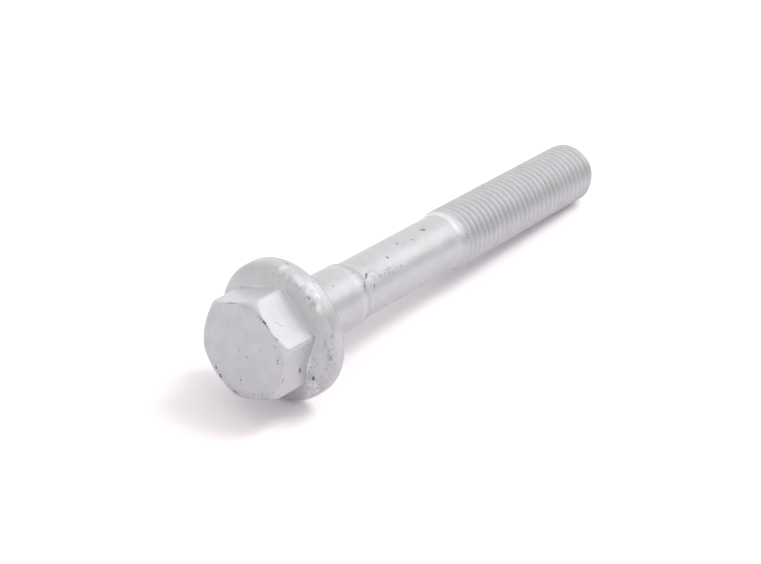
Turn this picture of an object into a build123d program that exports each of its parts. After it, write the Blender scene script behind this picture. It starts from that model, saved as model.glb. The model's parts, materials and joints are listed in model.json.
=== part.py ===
from build123d import *
import math
import os

# Hexagon flange bolt, M12 x 1.5 x 90, with a collar under the head and a reduced shank.
# The whole bolt is one solid: headed from wire, its shank drawn down, its thread rolled.
#
# It lies on a flat floor as it comes to rest. The flange's rim and the end of the thread
# touch the floor, so its axis falls a few degrees from head to point.
# Frame: +X runs along the floor from head to point, +Z is up, and the origin is on the
# floor under the middle of the bolt's box. Sizes are in millimetres and degrees.

# Hexagon
across_flats = 17.6  # an 18 mm spanner size, at the low end of its tolerance
head_height = 11.9  # from the bearing face to the crown face
corner_round = 1.0  # forged round along the six corners
root_round = 0.8  # where the flats run out into the flange

# Crown, the chamfered end of the hexagon
crown_diameter = 17.0  # flat end face
crown_angle = 33.0  # chamfer, measured from the end face
crown_round = 1.5  # where the chamfer turns down over the corners

# Flange
flange_diameter = 25.8
rim_height = 3.0  # from the bearing face to the edge of the slope
flange_slope = 20.0  # rise of the conical face towards the hexagon
rim_front_round = 1.3  # edge between the slope and the rim
rim_back_bevel = 0.4  # edge between the rim and the bearing face
neck_round = 0.8  # fillet under the head

# Shank and thread, along the axis from the bearing face
bolt_length = 90.0
collar_length = 15.5  # full diameter left under the head
collar_step = 1.0  # slope from the collar down to the shank
step_round = 1.5  # blends that slope into the collar and the shank
thread_diameter = 12.0  # crests of the thread
thread_pitch = 1.5
thread_length = 44.0  # from the first full crest to the end of the bolt
runout_length = 2.2  # slope from the shank up to the first full crest
runout_round = 0.5
point_length = 2.2  # chamfered end
point_diameter = 9.3  # flat end face

# Turn about its own axis, from a corner of the hexagon straight up, right-handed along +X
roll = 11.2

# A rolled thread starts from a blank of its pitch diameter, and the shank keeps that size.
pitch_line_fall = 0.6495  # crest diameter less pitch diameter, for a pitch of 1
shank_diameter = thread_diameter - pitch_line_fall * thread_pitch

# How it lies. The rim touches the floor where its bevel starts, the thread at its last crest.
flange_radius = flange_diameter / 2
thread_radius = thread_diameter / 2
thread_end = bolt_length - point_length
tilt = math.atan2(flange_radius - thread_radius, thread_end + rim_back_bevel)
along = Vector(math.cos(tilt), 0, -math.sin(tilt))  # from head to point
upward = Vector(math.sin(tilt), 0, math.cos(tilt))  # square to the axis, away from the floor
corner_way = upward.rotate(Axis((0, 0, 0), along), roll)  # towards one corner of the hexagon
bearing_height = thread_end * math.sin(tilt) + thread_radius * math.cos(tilt)

# The origin is midway between the lowest edge of the crown face and the top of the point.
back_reach = head_height * math.cos(tilt) + crown_diameter / 2 * math.sin(tilt)
point_face_radius = point_diameter / 2
front_reach = bolt_length * math.cos(tilt) + point_face_radius * math.sin(tilt)
bearing_centre = Vector((back_reach - front_reach) / 2, 0, bearing_height)

bolt_axis = Axis(bearing_centre, along)
profile_plane = Plane(origin=bearing_centre, x_dir=along, z_dir=along.cross(corner_way))
head_plane = Plane(origin=bearing_centre, x_dir=corner_way, z_dir=-along)

with BuildPart() as flange_bolt:
    # Hexagon, standing on the bearing plane.
    with BuildSketch(head_plane) as hexagon:
        RegularPolygon(across_flats / 2, 6, major_radius=False)
        fillet(hexagon.vertices(), radius=corner_round)
    extrude(amount=head_height)

    # Crown: the hexagon is kept only inside a turned, chamfered envelope.
    corner_reach = across_flats / math.sqrt(3)
    crown_radius = crown_diameter / 2
    chamfer_depth = (corner_reach - crown_radius) * math.tan(math.radians(crown_angle))
    with BuildSketch(profile_plane) as envelope:
        with BuildLine():
            Polyline(
                (0, 0),
                (-head_height, 0),
                (-head_height, crown_radius),
                (chamfer_depth - head_height, corner_reach),
                (0, corner_reach),
                close=True,
            )
        make_face()
        shoulder = envelope.vertices().group_by(Axis.Y)[-1].sort_by(Axis.X)[0]
        fillet(shoulder, radius=crown_round)
    revolve(axis=bolt_axis, mode=Mode.INTERSECT)

    # Flange, collar, shank, thread and point, turned in one profile.
    shank_radius = shank_diameter / 2
    thread_start = bolt_length - thread_length
    slope_rise = flange_radius * math.tan(math.radians(flange_slope))
    with BuildSketch(profile_plane) as turned:
        with BuildLine():
            Polyline(
                (-rim_height - slope_rise, 0),
                (-rim_height, flange_radius),
                (-rim_back_bevel, flange_radius),
                (0, flange_radius - rim_back_bevel),
                (0, thread_radius),
                (collar_length, thread_radius),
                (collar_length + collar_step, shank_radius),
                (thread_start - runout_length, shank_radius),
                (thread_start, thread_radius),
                (thread_end, thread_radius),
                (bolt_length, point_face_radius),
                (bolt_length, 0),
                close=True,
            )
        make_face()
        for corner, corner_radius in (
            ((-rim_height, flange_radius), rim_front_round),
            ((0, thread_radius), neck_round),
            ((collar_length, thread_radius), step_round),
            ((collar_length + collar_step, shank_radius), step_round),
            ((thread_start - runout_length, shank_radius), runout_round),
            ((thread_start, thread_radius), runout_round),
        ):
            fillet(turned.vertices().sort_by_distance(corner)[0], radius=corner_radius)
    revolve(axis=bolt_axis)

    # The flats run out into the flange's slope in a small round.
    fillet(flange_bolt.edges(Select.NEW), radius=root_round)

flange_bolt.part.label = "flange_bolt"

os.makedirs("parts", exist_ok=True)
export_step(flange_bolt.part, "parts/flange_bolt.step")
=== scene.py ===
"""Hexagon flange bolt, M12 x 1.5 x 90, lying on a pale studio floor.

The bolt is one mesh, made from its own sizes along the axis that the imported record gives. It
has the forged head, the drawn shank and the rolled right-hand thread, and it stands for the CAD
model's plain solid. Sizes are in metres, as everywhere in Blender.
"""

import json
import math

import bpy
from bpy.props import FloatProperty, FloatVectorProperty, PointerProperty
from mathutils import Matrix, Vector, noise
from mathutils.geometry import intersect_point_line


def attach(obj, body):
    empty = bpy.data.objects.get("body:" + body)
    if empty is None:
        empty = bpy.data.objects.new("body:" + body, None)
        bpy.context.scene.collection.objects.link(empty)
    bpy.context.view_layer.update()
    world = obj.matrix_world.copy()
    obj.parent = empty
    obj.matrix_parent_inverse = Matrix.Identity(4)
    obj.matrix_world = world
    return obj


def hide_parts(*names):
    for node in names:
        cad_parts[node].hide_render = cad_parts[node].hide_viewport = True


bl_info = {
    "name": "Flange Bolt",
    "version": (1, 0, 0),
    "blender": (4, 5, 0),
    "location": "3D View > Sidebar > Flange Bolt",
    "description": "Builds a coated hexagon flange bolt and the stage it lies on",
    "category": "Add Mesh",
}

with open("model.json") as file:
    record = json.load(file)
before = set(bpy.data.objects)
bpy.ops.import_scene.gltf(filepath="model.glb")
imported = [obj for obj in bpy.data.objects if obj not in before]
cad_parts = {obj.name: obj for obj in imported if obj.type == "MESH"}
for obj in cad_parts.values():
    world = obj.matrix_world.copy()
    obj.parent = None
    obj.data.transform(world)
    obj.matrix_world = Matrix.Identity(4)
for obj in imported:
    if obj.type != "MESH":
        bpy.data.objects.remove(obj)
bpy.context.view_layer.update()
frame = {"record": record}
MOUNTS = {mount["name"]: mount for mount in frame["record"]["mounts"]}
COAT = frame["record"]["materials"][0]
MM = 0.001

# Steps round the bolt: one sixth of a turn has a rounded corner and an even fan between two.
SIXTH = math.radians(60)
FULL_TURN = math.radians(360)
CORNER_STEPS = 4
FAN_STEPS = 24

# A round takes at most this share of the shorter side beside it.
ROUND_ROOM = 0.46

# Rows of the thread: crests beyond both of its ends, and how near to an end a row joins it (mm).
SPARE_CRESTS = 4
SNAP = 0.02

# One groove of the thread, in shares of the pitch. The flanks stand at 60 degrees, and the
# coating rounds the crest and fills the root a little, as on a rolled and coated thread.
CREST_FLAT = 0.04
CREST_END = 0.13
FLANK_SLOPE = math.sqrt(3)
CREST_BEND = FLANK_SLOPE / 2 / (CREST_END - CREST_FLAT)
CREST_HALF = (CREST_END + CREST_FLAT) / 2
ROOT_ROUND = 0.22
FLANK_END = 0.5 - ROOT_ROUND * math.cos(math.radians(30))
ROOT_DEPTH = (FLANK_END - CREST_HALF) * FLANK_SLOPE + ROOT_ROUND / 2
CREST_SAMPLES = (0.05, 0.09)
ROOT_SAMPLE = 0.41

# Ends of the thread. In shares of the pitch: how far the last full crest lies before the point's
# chamfer, and how far before the thread's start the grooves begin and how fast they deepen. In
# shares of the run-out: the room for its slope with its rounds, and for the rise of the crests.
# The last is the share of the chamfer over which the grooves fade.
LAST_CREST = 0.06
GROOVE_START = 0.5
GROOVE_RISE = 0.7
RUNOUT_ROOM = 1.2
CREST_RISE = 0.7
FADE_SHARE = 0.85

# Forged unevenness: the size (mm) of its large and its small lumps with their shares of the
# depth, the shank's share of the head's depth, and what stays even beside the bearing face (mm).
FORGED_LUMPS = ((3.2, 0.7), (1.1, 0.3))
SHANK_SHARE = 0.4
EDGE_KEPT = 0.3

# Nicks in the coating, and one line of painted shade in the first groove. Each runs from one place
# to another, given by its distance along the axis from the bearing face (mm), its radius (mm) and
# its turn from straight up (degrees), and has a half width (mm).
NICKS_AND_SHADE_LINE = [
    # Crown edge over the upper right flat
    ((-11.8, 8.8, -32), (-11.8, 8.85, -34.5), 0.3),
    ((-11.8, 8.85, -36.5), (-11.8, 8.95, -40), 0.24),
    ((-11.85, 9.0, -24), (-11.85, 8.85, -29), 0.14),
    ((-11.8, 9.05, -52), (-11.8, 9.2, -56), 0.16),
    # Crown face
    ((-11.9, 8.05, -61), (-11.9, 8.2, -63), 0.15),
    ((-11.9, 8.05, -79), (-11.9, 8.07, -85), 0.14),
    ((-11.1, 8.85, -106), (-10.9, 8.97, -112), 0.15),
    ((-11.9, 0.5, 90), (-11.9, 0.6, 70), 0.13),
    ((-11.9, 4.3, -65), (-11.9, 4.5, -66), 0.13),
    ((-11.9, 6.2, 77), (-11.9, 6.3, 76), 0.1),
    ((-11.9, 1.1, -105), (-11.9, 1.9, -130), 0.12),
    ((-11.9, 4.8, 178), (-11.9, 6.6, 179), 0.1),
    # Lower left edge of the crown
    ((-11.8, 7.95, 132), (-11.8, 8.05, 136), 0.22),
    ((-11.8, 8.1, 142), (-11.8, 8.25, 147), 0.25),
    ((-11.8, 8.5, 169), (-11.8, 8.6, 175), 0.2),
    ((-11.82, 8.94, 29), (-11.82, 9.15, 3), 0.12),
    # Flats
    ((-9.8, 8.8, -38), (-8.9, 8.85, -47), 0.1),
    ((-6.8, 8.8, -103), (-6.5, 8.9, -111), 0.28),
    # Flange
    ((-3.9, 10.3, -117), (-3.8, 10.7, -121), 0.24),
    ((-3.3, 11.9, -35.5), (-3.35, 11.85, -39), 0.2),
    ((-2.9, 12.2, -76), (-2.9, 12.2, -80), 0.2),
    ((-3.0, 12.1, -88), (-3.0, 12.1, -93), 0.26),
    ((-2.4, 12.6, -84), (-2.4, 12.6, -88), 0.15),
    ((-3.0, 12.1, -122), (-3.0, 12.1, -128), 0.2),
    ((-1.4, 12.9, -1), (-1.2, 12.9, -4), 0.12),
    ((-1.1, 12.9, -27), (-0.9, 12.9, -30), 0.12),
    # Collar and shank
    ((8.8, 6.0, -26), (8.9, 6.0, -27), 0.16),
    ((15.4, 5.95, -45), (14.7, 5.95, -61), 0.22),
    ((16.4, 5.5, -43), (18.0, 5.5, -33), 0.2),
    ((18.1, 5.5, -57), (17.6, 5.5, -67), 0.15),
    ((17.5, 5.5, -36), (19.8, 5.5, -30), 0.06),
    ((19.9, 5.5, -52), (21.0, 5.5, -53), 0.09),
    ((24.5, 5.5, -25), (24.6, 5.5, -27), 0.28),
    ((26.2, 5.5, -51), (26.2, 5.5, -56), 0.15),
    ((29.1, 5.5, -8), (29.5, 5.5, -10), 0.2),
    ((32.8, 5.5, -18), (33.0, 5.5, -19), 0.16),
    ((36.6, 5.5, -7), (37.6, 5.5, -11), 0.28),
    # Painted shade: a dark line in the first groove, where the thread starts
    ((45.4, 5.93, -56), (45.3, 5.93, -76), 0.22),
]

# Areas with a crowd of small specks, given in the same way. Every area fades out softly, and
# ends at this share of its half width.
AREA_REACH = 1.3
SPECKLED = [
    ((-11.8, 8.0, 124), (-11.8, 8.5, 166), 0.9),
    ((-11.6, 8.6, 166), (-11.6, 8.7, -162), 1.4),
    ((-11.6, 8.7, -162), (-11.3, 9.0, -130), 1.4),
    ((-11.5, 9.0, -78), (-11.3, 9.0, -116), 0.7),
    ((-11.8, 9.0, -20), (-11.8, 9.2, -58), 0.5),
    ((-11.8, 8.6, 8), (-11.8, 8.8, -8), 0.5),
    ((-2.9, 12.2, -72), (-2.9, 12.2, -98), 1.3),
    ((-2.9, 12.2, -104), (-2.9, 12.2, -132), 1.5),
    ((-2.9, 12.2, 4), (-2.9, 12.2, -46), 1.2),
    ((-4.3, 9.6, -98), (-4.0, 10.6, -126), 1.0),
    ((15.0, 5.8, -28), (15.0, 5.8, -66), 1.6),
    ((17.0, 5.5, -40), (24.0, 5.5, -50), 1.5),
]

# Areas that are bright in streaks, given in the same way: rubbed wear on the rim, painted
# highlights where two flats run into the flange, and painted light on the lower rim.
RUBBED_AND_LIT = [
    # Rubbed wear on the rim's front round
    ((-2.6, 12.4, -4), (-2.6, 12.4, -24), 0.8),
    ((-2.6, 12.4, -24), (-2.7, 12.35, -40), 1.1),
    ((-2.8, 12.3, -40), (-3.0, 12.2, -50), 0.7),
    # Painted highlights where two flats run into the flange
    ((-4.8, 8.9, -82), (-4.6, 9.2, -114), 0.3),
    ((-4.6, 9.5, 36), (-4.5, 9.6, 2), 0.3),
    # Painted light on the lower rim, which lies in the head's own shadow
    ((-3.4, 11.3, -128), (-3.0, 12.2, -142), 1.4),
]

# Bands all round the bolt: where each starts and ends along the axis, and its soft edge (mm).
# Painted shadow along the rim's back edge, at the bearing face
RIM_SHADOW_LINE = (-0.45, -0.05, 0.12)
# The flats, which get a painted sheen
FLATS = (-11.6, -4.8, 0.2)
# The thread, where its grooves and a strip along it get painted shade
SHADED_THREAD = (46.3, 88.0, 0.4)
PALE_THREAD = (46.0, 87.3, 0.6)

# Soft rings: where each is along the axis, how far it reaches to both sides (mm), its strength.
# Painted shade at the collar's step, and a ring that is darker at the point
DARKER_RINGS = ((15.5, 1.2, 0.24), (90.0, 1.9, 0.14))
# Painted highlight just before the collar's step
COLLAR_HIGHLIGHT = (14.0, 1.1, 0.18)
# Painted highlight on the slope where the thread starts, on its upper side only
THREAD_START_HIGHLIGHT = (44.3, 0.95, 0.85)

# Painted shade on the thread: in its grooves, from one radius to a smaller one (mm) with the
# strength at each, and on a strip at one height over the axis, with its reach (mm) and strength.
GROOVE_SHADE = (5.85, 5.5, 0.0, 0.14)
SHADED_STRIP = (2.2, 2.6, 0.29)

# How strong the painted sheen on the flats is, how pale the thread is, and the heights over the
# axis (mm) between which the painted highlight on the ring at the thread's start comes up.
FLATS_SHEEN = 0.2
THREAD_PALE = 0.17
TOPMOST = (1.8, 4.2)

# Nicks, with the painted shade line among them: how far their edges wander (mm), and where a nick
# begins and is full, in shares of its half width. Specks: how much closer they stand in a crowd,
# where in the grit they begin and are full, and how strong they are. The last is the strength of
# specks, stains and painted shade beside nicks.
NICK_RAGGED = 0.22
NICK_EDGE = (1.15, 0.6)
SPECK_CROWD = 0.185
SPECK_EDGE = (0.68, 0.82)
SPECK_STRENGTH = 0.4
FAINT_STRENGTH = 0.8

# Bright streaks of rubbed wear and painted light: where in the noise they begin and are full, and
# the strength at each.
STREAK_EDGE = (0.4, 0.58, 0.25, 1.0)

# Noises of the coating: the roughness of all, and each one's waves to the millimetre and detail.
NOISE_ROUGHNESS = 0.6
RAGGED = (2.5, 2.0)
GRIT = (1.6, 3.0)
STREAKS = (0.9, 4.0)
CLOUDS = (0.35, 5.0)
SWELL = (0.5, 2.0)
GRAIN = (3.5, 3.0)

# The Mix node's sockets for colours.
MIX_FIRST = 6
MIX_SECOND = 7
MIX_RESULT = 2

# The coating: place on the clouds and gain of its dark and its pale grey, gain on rubbed wear,
# pale parts and painted highlights, how its grain and these lighter parts change its roughness,
# and the heights of its relief (mm).
DARK_CLOUD = (0.32, 0.91)
PALE_CLOUD = (0.68, 1.02)
LIGHTER_GAIN = 1.4
GRAIN_RANGE = (0.3, 0.7)
SATIN_SPREAD = 0.06
LIGHTER_SATIN = -0.08
SWELL_HEIGHT = 0.06
GRAIN_HEIGHT = 0.008
PIT_HEIGHT = -0.03
METALLIC = 0.5

# The studio: its pale light on the bolt, where 1 is the white that is seen, the grey of the card,
# the sides of the round floor, and the camera's sensor (mm) and nearest distance.
STUDIO_LIGHT = 0.82
CARD_GREY = 0.5
FLOOR_SIDES = 96
SENSOR_WIDTH = 36.0
NEAREST = 0.01


# Sizes and finish that a user would change ---------------------------------------------------


def length(name, description, default):
    """One length of the bolt, given in millimetres."""
    return FloatProperty(
        name=name,
        description=description,
        default=default * MM,
        min=0.0,
        unit="LENGTH",
        precision=5,
    )


def angle(name, description, default):
    """One angle, given in degrees."""
    return FloatProperty(
        name=name, description=description, default=math.radians(default), subtype="ANGLE"
    )


def colour(name, description, default):
    """One colour, given as its red, green and blue."""
    return FloatVectorProperty(
        name=name,
        description=description,
        default=default,
        size=3,
        subtype="COLOR",
        min=0.0,
        max=1.0,
    )


def power(name, description, default):
    """Power of one lamp, given in watts."""
    return FloatProperty(
        name=name, description=description, default=default, min=0.0, unit="POWER"
    )


class BoltSizes(bpy.types.PropertyGroup):
    """Sizes of the bolt, along its axis from the bearing face."""

    across_flats: length("Across flats", "Spanner size of the hexagon", 17.6)
    head_height: length("Head height", "From the bearing face to the crown face", 11.9)
    corner_round: length("Corner round", "Forged round along the six corners", 0.7)
    root_round: length("Root round", "Where the flats run out into the flange", 0.22)
    crown_diameter: length("Crown diameter", "Flat end face of the head", 17.3)
    crown_angle: angle("Crown angle", "Chamfer of the crown from its end face", 27.0)
    crown_round: length("Crown round", "Where the chamfer turns down over the corners", 1.5)
    edge_round: length("Edge round", "Small round on the edges of the crown", 0.18)
    flange_diameter: length("Flange diameter", "Outside of the flange", 25.8)
    rim_height: length("Rim height", "From the bearing face to the flange's slope", 3.0)
    flange_slope: angle("Flange slope", "Rise of the flange towards the hexagon", 20.0)
    rim_front_round: length("Rim round", "Edge between the slope and the rim", 1.3)
    rim_back_bevel: length("Rim bevel", "Edge between the rim and the bearing face", 0.4)
    neck_round: length("Neck round", "Fillet under the head", 0.8)
    bolt_length: length("Length", "From the bearing face to the point", 90.0)
    collar_length: length("Collar length", "Full diameter left under the head", 15.5)
    collar_step: length("Collar step", "Slope from the collar down to the shank", 1.0)
    step_round: length("Step round", "Blends the collar's slope at both ends", 1.5)
    thread_diameter: length("Thread diameter", "Over the crests", 12.0)
    thread_pitch: length("Pitch", "From one crest to the next", 1.5)
    shank_diameter: length("Shank diameter", "Reduced shank, as wide as the pitch line", 11.026)
    thread_length: length("Thread length", "From the first full crest to the point", 44.0)
    runout_length: length("Run-out length", "Slope from the shank up to the thread", 2.2)
    point_length: length("Point length", "Chamfered end", 2.2)
    point_diameter: length("Point diameter", "Flat end face of the point", 9.3)
    roll: angle("Roll", "Turn about its axis, from a corner straight up", 11.2)


class BoltFinish(bpy.types.PropertyGroup):
    """Colour and wear of the coating, and the colour of its painted shade."""

    coat_colour: colour("Coat", "Colour of the coated steel", COAT["base_color"])
    # The marks' colour also colours the painted shade
    mark_and_shade_colour: colour("Marks", "Colour of the nicks and specks", (0.16, 0.155, 0.16))
    roughness: FloatProperty(
        name="Roughness", description="Satin of the coating", default=0.4, min=0.0, max=1.0
    )
    unevenness: length("Unevenness", "Depth of the forged unevenness of the head", 0.035)


class StageSizes(bpy.types.PropertyGroup):
    """Floor, lamps and camera."""

    floor_radius: length("Floor radius", "Radius of the pale floor", 1500.0)
    floor_colour: colour("Floor", "Colour of the floor, unlifted", (0.45, 0.427, 0.441))
    floor_lift: FloatProperty(
        name="Floor lift",
        description="How far the floor is lifted to white where it is seen",
        default=2.5,
        min=1.0,
    )
    lamp_distance: length("Lamp distance", "From the bolt to both lamps", 800.0)
    lamp_power: power("Side lamp", "Power of the large side lamp", 0.95)
    lamp_size: length("Side lamp size", "Side of the square side lamp", 600.0)
    lamp_azimuth: angle("Side azimuth", "Where the side lamp hangs, from +X towards +Y", -28.0)
    lamp_elevation: angle("Side elevation", "How high the side lamp hangs", 36.0)
    back_power: power("Back lamp", "Power of the lamp above, which no reflection shows", 2.4)
    back_size: length("Back lamp size", "Side of the square back lamp", 300.0)
    back_azimuth: angle("Back azimuth", "Where the back lamp hangs, from +X towards +Y", -50.0)
    back_elevation: angle("Back elevation", "How high the back lamp hangs", 60.0)
    card_azimuth: angle("Card azimuth", "Where the grey card stands, from +X towards +Y", -68.0)
    card_distance: length("Card distance", "From the bolt to the card", 500.0)
    card_width: length("Card width", "Across the grey card", 700.0)
    card_height: length("Card height", "Height of the grey card", 260.0)
    camera_aim: FloatVectorProperty(
        name="Aim",
        description="Place on the bolt that the camera looks at",
        default=(-0.008833, 0.003295, 0.006114),
        size=3,
        subtype="TRANSLATION",
        unit="LENGTH",
        precision=5,
    )
    camera_azimuth: angle("Azimuth", "Way the camera looks, from +X towards +Y", 38.47)
    camera_fall: angle("Fall", "How far the camera looks down", 31.36)
    camera_roll: angle("Roll", "How far the camera leans to its right", 0.381)
    camera_distance: length("Distance", "From the camera to its aim", 355.25)
    camera_lens: FloatProperty(
        name="Lens", description="Focal length on a 36 mm sensor", default=90.34, min=1.0
    )


# The bolt's own place in the frame -----------------------------------------------------------


class BoltPlace:
    """The bolt's axis, and the ways square to it, worked out from the record's mounts."""

    def __init__(self, sizes):
        collar = MOUNTS["collar"]
        self.along = Vector(collar["axis"]).normalized()
        self.sideways = Vector((0, 1, 0))
        self.upward = self.along.cross(self.sideways).normalized()
        self.bearing = Vector(collar["pos_m"]) - self.along * sizes.collar_length / 2

    def point(self, along, radius, turn):
        """A point by its distance from the bearing face, its radius and its turn from upward."""
        out = self.upward * math.cos(turn) + self.sideways * math.sin(turn)
        return self.bearing + self.along * along + out * radius

    def to_bolt(self):
        """Matrix from frame coordinates to bolt coordinates: along the axis, sideways, upward."""
        turned = Matrix((self.along, self.sideways, self.upward))
        return turned.to_4x4() @ Matrix.Translation(-self.bearing)


# Outline of the bolt at one turn -------------------------------------------------------------


def rounded(corners):
    """Points of an outline. A corner is (along, radius, round, chords, cuts): its round becomes
    that many chords, and the straight side that leads to it is cut into that many pieces."""
    places = [Vector(corner[:2]) for corner in corners]
    points = [places[0]]
    for index in range(1, len(corners)):
        here = places[index]
        _, _, wanted, chords, cuts = corners[index]
        arc = [here]
        if chords:
            arc = arc_points(places[index - 1], here, places[index + 1], wanted, chords)
        start = points[-1]
        points.extend(start.lerp(arc[0], cut / cuts) for cut in range(1, cuts))
        points.extend(arc)
    return points


def arc_points(before, corner, after, wanted, chords):
    """Points of the arc that rounds a corner, kept inside the nearer half of both sides."""
    back = before - corner
    ahead = after - corner
    room = ROUND_ROOM * min(back.length, ahead.length)
    back.normalize()
    ahead.normalize()
    half = math.acos(max(-1.0, min(1.0, back.dot(ahead)))) / 2
    reach = min(wanted / math.tan(half), room)
    radius = reach * math.tan(half)
    middle = corner + (back + ahead).normalized() * radius / math.sin(half)
    first = corner + back * reach - middle
    sweep = first.angle_signed(corner + ahead * reach - middle)
    points = []
    for step in range(chords + 1):
        turned = Matrix.Rotation(-sweep * step / chords, 2) @ first
        points.append(middle + turned)
    return points


def corner_centre(sizes):
    """Distance from the axis to the middle of a corner's round."""
    return (sizes.across_flats / 2 - sizes.corner_round) / math.cos(SIXTH / 2)


def corner_half_angle(sizes):
    """Half of the angle that a rounded corner takes, seen from the axis."""
    side = sizes.corner_round * math.sin(SIXTH / 2)
    ahead = corner_centre(sizes) + sizes.corner_round * math.cos(SIXTH / 2)
    return math.atan2(side, ahead)


def hexagon_radius(sizes, turn):
    """Radius of the hexagon at a turn, measured from one of its corners, with rounded corners."""
    off_corner = (turn + SIXTH / 2) % SIXTH - SIXTH / 2
    if abs(off_corner) > corner_half_angle(sizes):
        return sizes.across_flats / 2 / math.cos(SIXTH / 2 - abs(off_corner))
    centre = corner_centre(sizes)
    side = centre * math.sin(off_corner)
    ahead = math.sqrt(max(0.0, sizes.corner_round**2 - side**2))
    return centre * math.cos(off_corner) + ahead


def turns_round(sizes):
    """Turns of the mesh's columns from a corner of the hexagon, closer on its rounded corners."""
    half = corner_half_angle(sizes)
    turns = []
    for corner in range(6):
        middle = corner * SIXTH
        for step in range(CORNER_STEPS):
            turns.append(middle - half + 2 * half * step / CORNER_STEPS)
        for step in range(FAN_STEPS):
            turns.append(middle + half + (SIXTH - 2 * half) * step / FAN_STEPS)
    return turns


def front_outline(sizes, turn):
    """Outline from the middle of the crown face to the shank before the thread."""
    s = sizes
    crown = s.crown_diameter / 2
    rim = s.flange_diameter / 2
    shank = s.shank_diameter / 2
    collar = s.thread_diameter / 2
    flat = hexagon_radius(s, turn)
    shoulder = (flat - crown) * math.tan(s.crown_angle) - s.head_height
    root = -s.rim_height - (rim - flat) * math.tan(s.flange_slope)
    lowest = s.across_flats / 2
    highest = hexagon_radius(s, 0.0)
    to_corner = (flat - lowest) / (highest - lowest)
    shoulder_round = s.edge_round + (s.crown_round - s.edge_round) * to_corner
    small = s.edge_round / 3
    return rounded(
        [
            (-s.head_height, 0.0, 0.0, 0, 0),
            (-s.head_height, crown, s.edge_round, 3, 14),
            (shoulder, flat, shoulder_round, 4, 2),
            (root, flat, s.root_round, 5, 12),
            (-s.rim_height, rim, s.rim_front_round, 6, 6),
            (-s.rim_back_bevel, rim, small, 1, 3),
            (0.0, rim - s.rim_back_bevel, small, 1, 1),
            (0.0, collar, s.neck_round, 4, 5),
            (s.collar_length, collar, s.step_round, 3, 12),
            (s.collar_length + s.collar_step, shank, s.step_round, 3, 1),
            (thread_rise(s), shank, 0.0, 0, 30),
        ]
    )


def back_outline(sizes):
    """Outline from the thread's last groove to the middle of the point."""
    s = sizes
    point = s.point_diameter / 2
    fade = thread_fade(s)
    return rounded(
        [
            (fade, chamfer_radius(s, fade), 0.0, 0, 0),
            (s.bolt_length, point, s.edge_round, 3, 1),
            (s.bolt_length, 0.0, 0.0, 0, 6),
        ]
    )


# Thread --------------------------------------------------------------------------------------


def thread_rise(sizes):
    """Where the slope up to the thread starts, less a little for its round."""
    return sizes.bolt_length - sizes.thread_length - sizes.runout_length * RUNOUT_ROOM


def thread_fade(sizes):
    """Where the point's chamfer has cut away the last of the grooves."""
    depth = ROOT_DEPTH * sizes.thread_pitch
    drop = (sizes.thread_diameter - sizes.point_diameter) / 2
    return sizes.bolt_length - sizes.point_length * (1 - depth / drop) * FADE_SHARE


def chamfer_radius(sizes, along):
    """Radius of the point's chamfer, or of the crests where the chamfer hasn't begun."""
    crest = sizes.thread_diameter / 2
    drop = crest - sizes.point_diameter / 2
    past = along - (sizes.bolt_length - sizes.point_length)
    return crest - drop * max(0.0, past) / sizes.point_length


def smooth_step(value):
    """Eases from 0 to 1 and stays there."""
    held = max(0.0, min(1.0, value))
    return held * held * (3 - 2 * held)


def crest_radius(sizes, along):
    """Radius over the crests: it rises from the shank, holds, and falls on the point."""
    shank = sizes.shank_diameter / 2
    start = sizes.bolt_length - sizes.thread_length
    runout = sizes.runout_length
    risen = smooth_step((along - start + runout) / (CREST_RISE * runout))
    held = shank + (sizes.thread_diameter / 2 - shank) * risen
    return min(held, chamfer_radius(sizes, along))


def thread_pattern():
    """Shares of one pitch at which the thread's section is sampled, from crest to crest."""
    half = [*CREST_SAMPLES, CREST_END, FLANK_END, ROOT_SAMPLE]
    return [*half, 0.5, *(1 - share for share in reversed(half))]


def thread_depth(share):
    """Depth of the thread's section at a share of the pitch from a crest, in pitches."""
    off = min(share % 1.0, 1.0 - share % 1.0)
    if off >= FLANK_END:
        across = (0.5 - off) / ROOT_ROUND
        return ROOT_DEPTH - ROOT_ROUND * (1 - math.sqrt(max(0.0, 1 - across * across)))
    if off <= CREST_END:
        return max(0.0, off - CREST_FLAT) ** 2 * CREST_BEND
    return (off - CREST_HALF) * FLANK_SLOPE


def thread_radius(sizes, along, share):
    """Radius of the threaded part, with the grooves fading in over the run-out."""
    pitch = sizes.thread_pitch
    start = sizes.bolt_length - sizes.thread_length
    grown = smooth_step((along - start + GROOVE_START * pitch) / (GROOVE_RISE * pitch))
    in_groove = sizes.thread_diameter / 2 - thread_depth(share) * pitch
    envelope = crest_radius(sizes, along)
    return envelope - grown * max(0.0, envelope - in_groove)


# Mesh of the bolt ----------------------------------------------------------------------------


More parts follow.
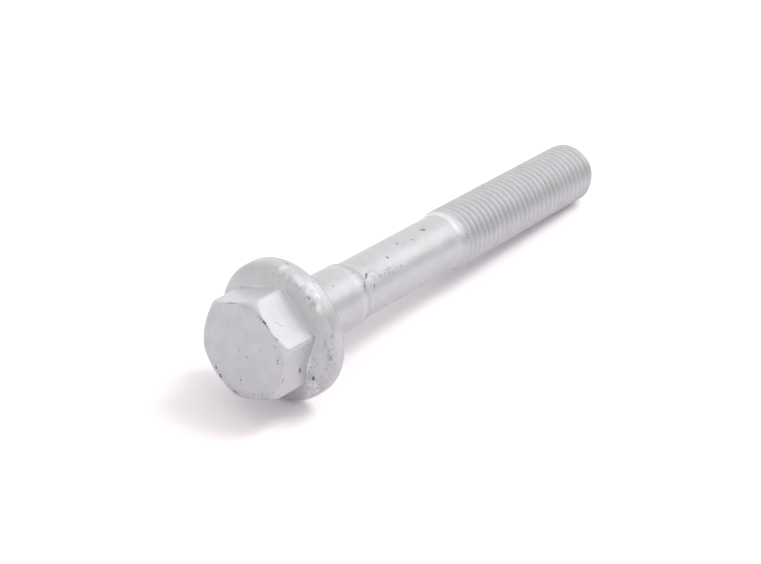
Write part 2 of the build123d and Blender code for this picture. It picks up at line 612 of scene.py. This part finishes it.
class BoltMesh:
    """Collects the rings and the helical rows of the bolt as one closed mesh."""

    def __init__(self, sizes, place):
        self.sizes = sizes
        self.place = place
        self.turns = turns_round(sizes)
        self.points = []
        self.faces = []

    def add(self, along, radius, turn):
        """Adds a point, given by its turn from a corner, and returns its number."""
        self.points.append(self.place.point(along, radius, turn - self.sizes.roll))
        return len(self.points) - 1

    def pole(self, along):
        """A point on the axis, which a whole ring shares."""
        return [self.add(along, 0.0, 0.0)] * len(self.turns)

    def ring(self, outline_points):
        """A ring of points, one for each turn."""
        return [
            self.add(point.x, point.y, turn) for point, turn in zip(outline_points, self.turns)
        ]

    def face(self, *corners):
        """Adds a face, without the corners that have run together."""
        kept = [n for i, n in enumerate(corners) if n != corners[i - 1]]
        if len(kept) > 2:
            self.faces.append(kept)

    def join(self, rings):
        """Skins a list of closed rings, from the first to the last."""
        count = len(self.turns)
        for low, high in zip(rings, rings[1:]):
            for column in range(count):
                after = (column + 1) % count
                self.face(low[column], high[column], high[after], low[after])

    def front(self):
        """Head, collar and shank."""
        outlines = [front_outline(self.sizes, turn) for turn in self.turns]
        rows = list(zip(*outlines))
        rings = [self.pole(rows[0][0].x)]
        rings.extend(self.ring(row) for row in rows[1:])
        self.join(rings)
        return rings[-1]

    def thread(self, first_ring):
        """Rows that follow the helix. Past either end of the thread they run together there."""
        s = self.sizes
        start = thread_rise(s)
        end = thread_fade(s)
        pitch = s.thread_pitch
        pattern = thread_pattern()
        crest_zero = s.bolt_length - s.point_length - LAST_CREST * pitch
        last_ring = self.ring([Vector((end, chamfer_radius(s, end)))] * len(self.turns))
        first_crest = math.floor((start - crest_zero) / pitch) - 1
        crests = math.ceil((end - start) / pitch) + SPARE_CRESTS
        shares = [first_crest + turn + share for turn in range(crests) for share in pattern]
        snap = SNAP * MM

        def row_place(share, turn):
            """Distance along the axis of a row at a turn, with a crest lowest at its end."""
            advance = (turn - s.roll - math.pi) / FULL_TURN
            return crest_zero + (share - advance) * pitch

        columns = []
        for column, turn in enumerate(self.turns):
            numbers = []
            for share in shares:
                along = row_place(share, turn)
                if along <= start + snap:
                    numbers.append(first_ring[column])
                elif along >= end - snap:
                    numbers.append(last_ring[column])
                else:
                    numbers.append(self.add(along, thread_radius(s, along, share), turn))
            columns.append(numbers)
        step = len(pattern)
        closing = [first_ring[0]] * step + columns[0][:-step]
        columns.append(closing)
        for here, after in zip(columns, columns[1:]):
            for row in range(len(shares) - 1):
                self.face(here[row], here[row + 1], after[row + 1], after[row])
        return last_ring

    def back(self, first_ring):
        """Chamfered point."""
        outline = back_outline(self.sizes)
        rings = [first_ring]
        rings.extend(self.ring([point] * len(self.turns)) for point in outline[1:-1])
        rings.append(self.pole(outline[-1].x))
        self.join(rings)

    def build(self, name):
        """Makes the Blender mesh with its faces turned outwards."""
        self.back(self.thread(self.front()))
        mesh = bpy.data.meshes.new(name)
        mesh.from_pydata(self.points, [], self.faces)
        mesh.validate()
        mesh.update()
        return mesh


def forge(mesh, sizes, place, depth):
    """Presses the head and, less, the shank inwards by an uneven amount, as forging leaves it."""
    to_bolt = place.to_bolt()
    kept = EDGE_KEPT * MM
    moved = []
    for vertex in mesh.vertices:
        where = to_bolt @ vertex.co
        on_head = where.x < -kept
        on_shank = kept < where.x < thread_rise(sizes)
        share = 1.0 if on_head else SHANK_SHARE if on_shank else 0.0
        soft = sum(noise.noise(where / (lump * MM)) * part for lump, part in FORGED_LUMPS)
        moved.append(vertex.co - vertex.normal * depth * share * (0.5 + 0.5 * soft))
    for vertex, there in zip(mesh.vertices, moved):
        vertex.co = there


def spot_place(spot):
    """Bolt coordinates in mm of a place given by its distance along the axis, radius and turn."""
    along, radius, turn = spot
    turned = math.radians(turn)
    return Vector((along, radius * math.sin(turned), radius * math.cos(turned)))


def paint_wear_and_light(mesh, sizes, place):
    """Stores how speckled the coating is at each point of the mesh, and how much rubbed wear and
    painted light it has there.
    """
    to_bolt = place.to_bolt()
    places = [to_bolt @ vertex.co / MM for vertex in mesh.vertices]
    last = (thread_rise(sizes) + 2 * sizes.thread_pitch) / MM
    for name, areas in (("speckled", SPECKLED), ("rubbed_and_lit", RUBBED_AND_LIT)):
        ends = [(spot_place(first), spot_place(end), width) for first, end, width in areas]
        shares = [0.0] * len(places)
        for number, where in enumerate(places):
            if where.x > last:
                continue
            for first, end, width in ends:
                _, share = intersect_point_line(where, first, end)
                held = first.lerp(end, max(0.0, min(1.0, share)))
                closeness = smooth_step(AREA_REACH - (where - held).length / width)
                shares[number] = max(shares[number], closeness)
        layer = mesh.attributes.new(name, "FLOAT", "POINT")
        layer.data.foreach_set("value", shares)


# Finish --------------------------------------------------------------------------------------


def node(tree, kind, inputs=None, **settings):
    """Adds a shader node, sets its settings, and sets or links its inputs."""
    made = tree.nodes.new(kind)
    for key, value in settings.items():
        setattr(made, key, value)
    for key, value in (inputs or {}).items():
        if isinstance(value, bpy.types.NodeSocket):
            tree.links.new(value, made.inputs[key])
        else:
            made.inputs[key].default_value = value
    return made


def math_node(tree, operation, first, second):
    """Output of a Math node on two values."""
    return node(tree, "ShaderNodeMath", {0: first, 1: second}, operation=operation).outputs[0]


def added(tree, base, value, share):
    """The base with a share of the value added to it."""
    inputs = {0: value, 1: share, 2: base}
    return node(tree, "ShaderNodeMath", inputs, operation="MULTIPLY_ADD").outputs[0]


def noise_node(tree, where, scale, detail, **settings):
    """A noise texture in bolt coordinates, with so many waves to the millimetre."""
    inputs = {"Vector": where, "Scale": scale, "Detail": detail}
    inputs["Roughness"] = NOISE_ROUGHNESS
    return node(tree, "ShaderNodeTexNoise", inputs, **settings)


def eased(tree, value, start, end, low=0.0, high=1.0):
    """Goes softly from low to high while the value goes from start to end."""
    inputs = {"Value": value, "From Min": start, "From Max": end, "To Min": low, "To Max": high}
    ranged = node(tree, "ShaderNodeMapRange", inputs, interpolation_type="SMOOTHSTEP")
    return ranged.outputs["Result"]


def band(tree, value, start, end, soft):
    """1 where the value lies between start and end, and softly 0 outside."""
    rise = eased(tree, value, start - soft, start + soft)
    return math_node(tree, "MULTIPLY", rise, eased(tree, value, end + soft, end - soft))


def eased_hill(tree, value, top, half, high):
    """Rises softly to its height where the value is at the top, and falls again beyond."""
    away = math_node(tree, "ABSOLUTE", math_node(tree, "SUBTRACT", value, top), 0.0)
    return eased(tree, away, half, 0.0, 0.0, high)


def bolt_millimetres(tree, place):
    """Bolt coordinates in millimetres: along the axis, sideways and upward."""
    turned = place.to_bolt()
    inputs = {
        "Vector": node(tree, "ShaderNodeTexCoord").outputs["Object"],
        "Location": turned.to_translation() / MM,
        "Rotation": turned.to_euler(),
        "Scale": (1 / MM,) * 3,
    }
    return node(tree, "ShaderNodeMapping", inputs).outputs["Vector"]


def nearest_spot(tree, where, spots):
    """Distance to the nearest of several long spots: 1 on its edge and less inside."""
    nearest = None
    for first, last, width in spots:
        start = spot_place(first)
        end = spot_place(last)
        run = end - start
        inputs = {
            "Vector": where,
            "Location": (start + end) / 2,
            "Rotation": run.to_track_quat("X", "Z").to_euler(),
            "Scale": (run.length / 2 + width, width, width),
        }
        inside = node(tree, "ShaderNodeMapping", inputs, vector_type="TEXTURE").outputs["Vector"]
        away = node(tree, "ShaderNodeVectorMath", {0: inside}, operation="LENGTH").outputs["Value"]
        nearest = away if nearest is None else math_node(tree, "MINIMUM", nearest, away)
    return nearest


def nick_and_shade_mask(tree, where):
    """The nicks and the painted shade line, with ragged edges."""
    ragged = noise_node(tree, where, *RAGGED, normalize=False).outputs["Color"]
    inputs = {0: ragged, 1: (NICK_RAGGED,) * 3, 2: where}
    torn = node(tree, "ShaderNodeVectorMath", inputs, operation="MULTIPLY_ADD").outputs[0]
    return eased(tree, nearest_spot(tree, torn, NICKS_AND_SHADE_LINE), *NICK_EDGE)


def speck_mask(tree, where):
    """Small specks, which crowd in the speckled areas."""
    speckled = node(tree, "ShaderNodeAttribute", attribute_name="speckled").outputs["Fac"]
    crowd = math_node(tree, "MULTIPLY", speckled, SPECK_CROWD)
    grit = math_node(tree, "ADD", noise_node(tree, where, *GRIT).outputs["Fac"], crowd)
    return eased(tree, grit, *SPECK_EDGE)


def painted_shade_and_darker_point_mask(tree, where, along, height):
    """Painted shade in the thread's grooves, on a strip along the thread, behind the rim and in a
    ring at the collar's step, and a ring that is darker at the point.
    """
    across = node(tree, "ShaderNodeVectorMath", {0: where, 1: (0, 1, 1)}, operation="MULTIPLY")
    radius = node(tree, "ShaderNodeVectorMath", {0: across.outputs[0]}, operation="LENGTH")
    grooves = eased(tree, radius.outputs["Value"], *GROOVE_SHADE)
    painted_shade_and_darker_point = math_node(tree, "ADD", grooves, eased_hill(tree, height, *SHADED_STRIP))
    painted_shade_and_darker_point = math_node(tree, "MULTIPLY", painted_shade_and_darker_point, band(tree, along, *SHADED_THREAD))
    painted_shade_and_darker_point = math_node(tree, "MAXIMUM", painted_shade_and_darker_point, band(tree, along, *RIM_SHADOW_LINE))
    for ring in DARKER_RINGS:
        painted_shade_and_darker_point = math_node(tree, "MAXIMUM", painted_shade_and_darker_point, eased_hill(tree, along, *ring))
    return painted_shade_and_darker_point


def rub_and_light_mask(tree, where):
    """Bright streaks in the rubbed areas and in the areas of painted light."""
    rubbed_and_lit = node(tree, "ShaderNodeAttribute", attribute_name="rubbed_and_lit").outputs["Fac"]
    streaks = eased(tree, noise_node(tree, where, *STREAKS).outputs["Fac"], *STREAK_EDGE)
    return math_node(tree, "MULTIPLY", rubbed_and_lit, streaks)


def pale_and_highlight_mask(tree, along, height):
    """Where the coating is paler on the thread, with painted highlights: a sheen on the flats, one
    at the end of the collar, and one on top of the ring at the thread's start.
    """
    flats = math_node(tree, "MULTIPLY", band(tree, along, *FLATS), FLATS_SHEEN)
    topmost = eased(tree, height, *TOPMOST)
    thread = math_node(tree, "MULTIPLY", band(tree, along, *PALE_THREAD), THREAD_PALE)
    pale_and_lit = math_node(tree, "MAXIMUM", flats, thread)
    pale_and_lit = math_node(tree, "MAXIMUM", pale_and_lit, eased_hill(tree, along, *COLLAR_HIGHLIGHT))
    ring = math_node(tree, "MULTIPLY", eased_hill(tree, along, *THREAD_START_HIGHLIGHT), topmost)
    return math_node(tree, "MAXIMUM", pale_and_lit, ring)


def coat_masks(tree, where):
    """Where the coating is dark with marks and painted shade, where it is pitted, and where it is
    light with rubbed wear, pale parts and painted highlights.
    """
    nicks_and_shade_line = nick_and_shade_mask(tree, where)
    specks = speck_mask(tree, where)
    split = node(tree, "ShaderNodeSeparateXYZ", {"Vector": where}).outputs
    painted_shade_and_darker_point = painted_shade_and_darker_point_mask(tree, where, split["X"], split["Z"])
    faint = math_node(tree, "MAXIMUM", math_node(tree, "MULTIPLY", specks, SPECK_STRENGTH), painted_shade_and_darker_point)
    faint = math_node(tree, "MULTIPLY", faint, FAINT_STRENGTH)
    dark = math_node(tree, "MAXIMUM", nicks_and_shade_line, faint)
    worn_and_lit = rub_and_light_mask(tree, where)
    light = math_node(tree, "MAXIMUM", worn_and_lit, pale_and_highlight_mask(tree, split["X"], split["Z"]))
    return dark, specks, light


def coat_colour(tree, finish, clouds, dark, light):
    """Mottled grey, darker in the nicks, specks and painted shade, and lighter on rubbed wear, on
    the pale thread and on the painted highlights.
    """
    coat = Vector(finish.coat_colour)
    tones = node(tree, "ShaderNodeValToRGB", {"Fac": clouds})
    for element, (cloud, gain) in zip(tones.color_ramp.elements, (DARK_CLOUD, PALE_CLOUD)):
        element.position = cloud
        element.color = [*coat * gain, 1.0]
    tone = tones.outputs["Color"]
    for mask, other in ((light, coat * LIGHTER_GAIN), (dark, Vector(finish.mark_and_shade_colour))):
        inputs = {"Factor": mask, MIX_FIRST: tone, MIX_SECOND: [*other, 1.0]}
        tone = node(tree, "ShaderNodeMix", inputs, data_type="RGBA").outputs[MIX_RESULT]
    return tone


def coated_steel(finish, place):
    """Zinc flake coating: satin metal with soft clouds, a fine grain and handling marks, and
    painted shade and highlights in its colour.
    """
    material = bpy.data.materials.new("coated_steel")
    material.use_nodes = True
    tree = material.node_tree
    tree.nodes.clear()
    where = bolt_millimetres(tree, place)
    clouds = noise_node(tree, where, *CLOUDS).outputs["Fac"]
    swell = noise_node(tree, where, *SWELL).outputs["Fac"]
    grain = noise_node(tree, where, *GRAIN).outputs["Fac"]
    dark, pits, light = coat_masks(tree, where)
    smooth = finish.roughness - SATIN_SPREAD
    matt = finish.roughness + SATIN_SPREAD
    satin = eased(tree, grain, *GRAIN_RANGE, smooth, matt)
    rough = added(tree, satin, light, LIGHTER_SATIN)
    relief = math_node(tree, "MULTIPLY", swell, SWELL_HEIGHT)
    relief = added(tree, relief, grain, GRAIN_HEIGHT)
    relief = added(tree, relief, pits, PIT_HEIGHT)
    bump = node(tree, "ShaderNodeBump", {"Height": relief, "Strength": 1.0, "Distance": MM})
    inputs = {
        "Base Color": coat_colour(tree, finish, clouds, dark, light),
        "Roughness": rough,
        "Metallic": METALLIC,
        "Normal": bump.outputs["Normal"],
    }
    surface = node(tree, "ShaderNodeBsdfPrincipled", inputs)
    node(tree, "ShaderNodeOutputMaterial", {"Surface": surface.outputs["BSDF"]})
    return material


# Stage ---------------------------------------------------------------------------------------


def seen_rays(tree):
    """1 for the rays that show the white studio: to the camera, in reflections and in glass."""
    rays = node(tree, "ShaderNodeLightPath").outputs
    seen = rays["Is Camera Ray"]
    for other in ("Is Glossy Ray", "Is Transmission Ray"):
        seen = math_node(tree, "MAXIMUM", seen, rays[other])
    return seen


def seen_level(tree, low, high):
    """The high level for the rays that show the white studio, and the low one for all others."""
    inputs = {"Value": seen_rays(tree), "To Min": low, "To Max": high}
    return node(tree, "ShaderNodeMapRange", inputs).outputs["Result"]


def floor_material(stage):
    """A pale floor that is lifted to white where it is seen, and keeps the bolt's shadow."""
    material = bpy.data.materials.new("pale_floor")
    material.use_nodes = True
    tree = material.node_tree
    tree.nodes.clear()
    inputs = {0: stage.floor_colour, "Scale": seen_level(tree, 1.0, stage.floor_lift)}
    lifted = node(tree, "ShaderNodeVectorMath", inputs, operation="SCALE")
    matt = node(tree, "ShaderNodeBsdfDiffuse", {"Color": lifted.outputs["Vector"]})
    node(tree, "ShaderNodeOutputMaterial", {"Surface": matt.outputs[0]})
    return material


def studio_world():
    """Even pale light all round, white where it is seen."""
    world = bpy.data.worlds.new("studio")
    world.use_nodes = True
    tree = world.node_tree
    tree.nodes.clear()
    inputs = {"Color": (1, 1, 1, 1), "Strength": seen_level(tree, STUDIO_LIGHT, 1.0)}
    sky = node(tree, "ShaderNodeBackground", inputs)
    node(tree, "ShaderNodeOutputWorld", {"Surface": sky.outputs[0]})
    return world


def way(azimuth, elevation):
    """Unit vector from the bolt towards a place round it."""
    return Vector(
        (
            math.cos(azimuth) * math.cos(elevation),
            math.sin(azimuth) * math.cos(elevation),
            math.sin(elevation),
        )
    )


def soft_lamp(scene, stage, name, watts, side, towards):
    """A large square lamp that hangs one way from the bolt and is aimed at it."""
    lamp = bpy.data.lights.new(name, "AREA")
    lamp.shape = "SQUARE"
    lamp.size = side
    lamp.energy = watts
    holder = bpy.data.objects.new(name, lamp)
    holder.location = towards * stage.lamp_distance
    holder.rotation_euler = (-towards).to_track_quat("-Z", "Y").to_euler()
    scene.collection.objects.link(holder)
    return holder


# Operators -----------------------------------------------------------------------------------


class FLANGEBOLT_OT_bolt(bpy.types.Operator):
    """Build the bolt from its sizes, with its rolled thread, and give it its coating"""

    bl_idname = "flange_bolt.build_bolt"
    bl_label = "Build Bolt"

    def execute(self, context):
        sizes = context.scene.bolt_sizes
        finish = context.scene.bolt_finish
        place = BoltPlace(sizes)
        mesh = BoltMesh(sizes, place).build("bolt")
        forge(mesh, sizes, place, finish.unevenness)
        paint_wear_and_light(mesh, sizes, place)
        mesh.shade_smooth()
        bolt = bpy.data.objects.new("bolt", mesh)
        context.scene.collection.objects.link(bolt)
        mesh.materials.append(coated_steel(finish, place))
        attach(bolt, "root")
        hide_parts("flange_bolt")
        return {"FINISHED"}


class FLANGEBOLT_OT_stage(bpy.types.Operator):
    """Lay the floor under the bolt, and set the lamps and the camera"""

    bl_idname = "flange_bolt.set_stage"
    bl_label = "Set Stage"

    def execute(self, context):
        scene = context.scene
        stage = scene.bolt_stage
        self.lay_floor(stage)
        scene.world = studio_world()
        self.hang_lamps(scene, stage)
        self.stand_card(stage)
        self.set_camera(scene, stage)
        scene.view_settings.view_transform = "Standard"
        return {"FINISHED"}

    def lay_floor(self, stage):
        """A wide round floor under the bolt."""
        bpy.ops.mesh.primitive_circle_add(
            vertices=FLOOR_SIDES, radius=stage.floor_radius, fill_type="NGON", location=(0, 0, 0)
        )
        floor = bpy.context.object
        floor.name = "floor"
        floor.data.materials.append(floor_material(stage))

    def hang_lamps(self, scene, stage):
        """A large lamp from the side, and a smaller one from above that no reflection shows."""
        aside = way(stage.lamp_azimuth, stage.lamp_elevation)
        soft_lamp(scene, stage, "side_lamp", stage.lamp_power, stage.lamp_size, aside)
        above = way(stage.back_azimuth, stage.back_elevation)
        lamp = soft_lamp(scene, stage, "back_lamp", stage.back_power, stage.back_size, above)
        lamp.visible_glossy = False

    def stand_card(self, stage):
        """A grey card beside the bolt, which only reflections and shadows show. Its lower half
        is under the floor."""
        there = way(stage.card_azimuth, 0) * stage.card_distance
        upright = (math.radians(90), 0, stage.card_azimuth + math.radians(90))
        bpy.ops.mesh.primitive_plane_add(size=1, location=there, rotation=upright)
        card = bpy.context.object
        card.name = "card"
        card.scale = (stage.card_width, 2 * stage.card_height, 1)
        card.visible_camera = False
        grey = bpy.data.materials.new("grey_card")
        grey.use_nodes = True
        shader = grey.node_tree.nodes["Principled BSDF"]
        shader.inputs["Base Color"].default_value = (CARD_GREY, CARD_GREY, CARD_GREY, 1)
        shader.inputs["Roughness"].default_value = 1.0
        card.data.materials.append(grey)

    def set_camera(self, scene, stage):
        """Looks down along the bolt from behind its head."""
        looking = way(stage.camera_azimuth, -stage.camera_fall)
        leaning = Matrix.Rotation(-stage.camera_roll, 4, "Z")
        turned = looking.to_track_quat("-Z", "Y").to_matrix().to_4x4() @ leaning
        data = bpy.data.cameras.new("camera")
        data.lens = stage.camera_lens
        data.sensor_width = SENSOR_WIDTH
        data.clip_start = NEAREST
        camera = bpy.data.objects.new("camera", data)
        camera.location = Vector(stage.camera_aim) - looking * stage.camera_distance
        camera.rotation_euler = turned.to_euler()
        scene.collection.objects.link(camera)
        scene.camera = camera


class FLANGEBOLT_PT_panel(bpy.types.Panel):
    """Lists the bolt's sizes, its finish and the stage"""

    bl_idname = "FLANGEBOLT_PT_panel"
    bl_label = "Flange Bolt"
    bl_space_type = "VIEW_3D"
    bl_region_type = "UI"
    bl_category = "Flange Bolt"

    def draw(self, context):
        for group in (context.scene.bolt_sizes, context.scene.bolt_finish):
            for name in group.__annotations__:
                self.layout.prop(group, name)
        self.layout.operator(FLANGEBOLT_OT_bolt.bl_idname)
        stage = context.scene.bolt_stage
        for name in stage.__annotations__:
            self.layout.prop(stage, name)
        self.layout.operator(FLANGEBOLT_OT_stage.bl_idname)


CLASSES = (
    BoltSizes,
    BoltFinish,
    StageSizes,
    FLANGEBOLT_OT_bolt,
    FLANGEBOLT_OT_stage,
    FLANGEBOLT_PT_panel,
)


def register():
    """Registers the classes, and gives the scene its settings."""
    for kind in CLASSES:
        bpy.utils.register_class(kind)
    bpy.types.Scene.bolt_sizes = PointerProperty(type=BoltSizes)
    bpy.types.Scene.bolt_finish = PointerProperty(type=BoltFinish)
    bpy.types.Scene.bolt_stage = PointerProperty(type=StageSizes)


def unregister():
    """Takes the settings and the classes away again."""
    del bpy.types.Scene.bolt_stage
    del bpy.types.Scene.bolt_finish
    del bpy.types.Scene.bolt_sizes
    for kind in reversed(CLASSES):
        bpy.utils.unregister_class(kind)


def main():
    """Builds the bolt and its stage."""
    register()
    bpy.ops.flange_bolt.build_bolt()
    bpy.ops.flange_bolt.set_stage()
    bpy.context.view_layer.update()


if __name__ == "__main__":
    main()
